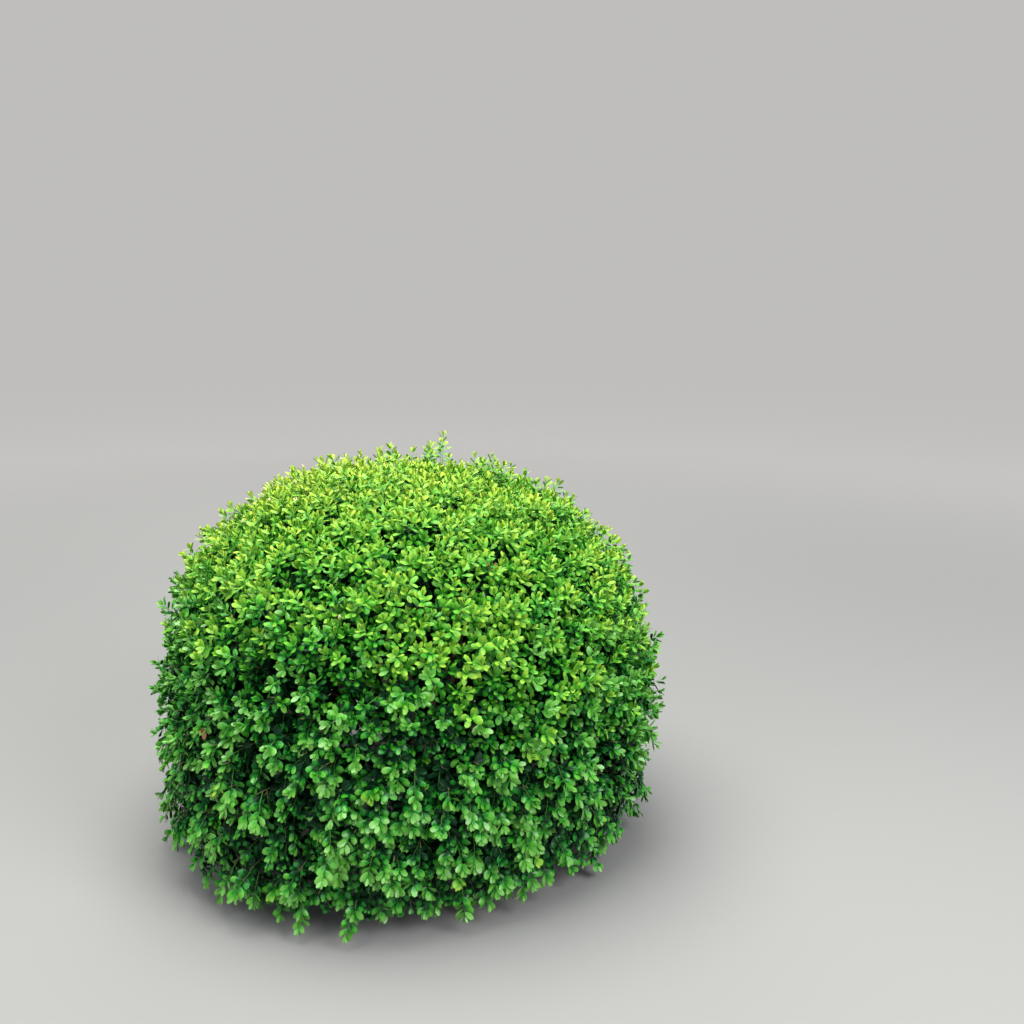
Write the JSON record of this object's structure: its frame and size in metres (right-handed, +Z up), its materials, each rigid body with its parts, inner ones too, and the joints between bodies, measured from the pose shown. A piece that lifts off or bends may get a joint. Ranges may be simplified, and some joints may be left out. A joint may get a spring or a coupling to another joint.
{
  "type": "box topiary ball",
  "caption": "Evergreen box shrub clipped to a broad, slightly flattened ball: a short flared stem, boughs in a bare heart, and a dense leafy shell down to the ground.",
  "frame": {"origin": "middle of the flat cut under the stem, at ground level", "axes": "+Z up along the stem, -Y towards the front of the bush as pictured, +X to its right"},
  "size_m": [1.2201, 1.2356, 0.9567],
  "materials": {
    "bark": "rough, finely fissured, pale grey brown",
    "foliage": "glossy green leaves"
  },
  "bodies": {
    "root": {"main_stem": "bark", "bough_top": "bark", "bough_shoulder_1": "bark", "bough_shoulder_2": "bark", "bough_shoulder_3": "bark", "bough_shoulder_4": "bark", "bough_shoulder_5": "bark", "bough_skirt_1": "bark", "bough_skirt_2": "bark", "bough_skirt_3": "bark", "bough_skirt_4": "bark", "bough_skirt_5": "bark", "bough_skirt_6": "bark", "bough_skirt_7": "bark", "foliage_top": "foliage", "foliage_shoulder_1": "foliage", "foliage_shoulder_2": "foliage", "foliage_shoulder_3": "foliage", "foliage_shoulder_4": "foliage", "foliage_shoulder_5": "foliage", "foliage_skirt_1": "foliage", "foliage_skirt_2": "foliage", "foliage_skirt_3": "foliage", "foliage_skirt_4": "foliage", "foliage_skirt_5": "foliage", "foliage_skirt_6": "foliage", "foliage_skirt_7": "foliage"}
  },
  "joints": []
}
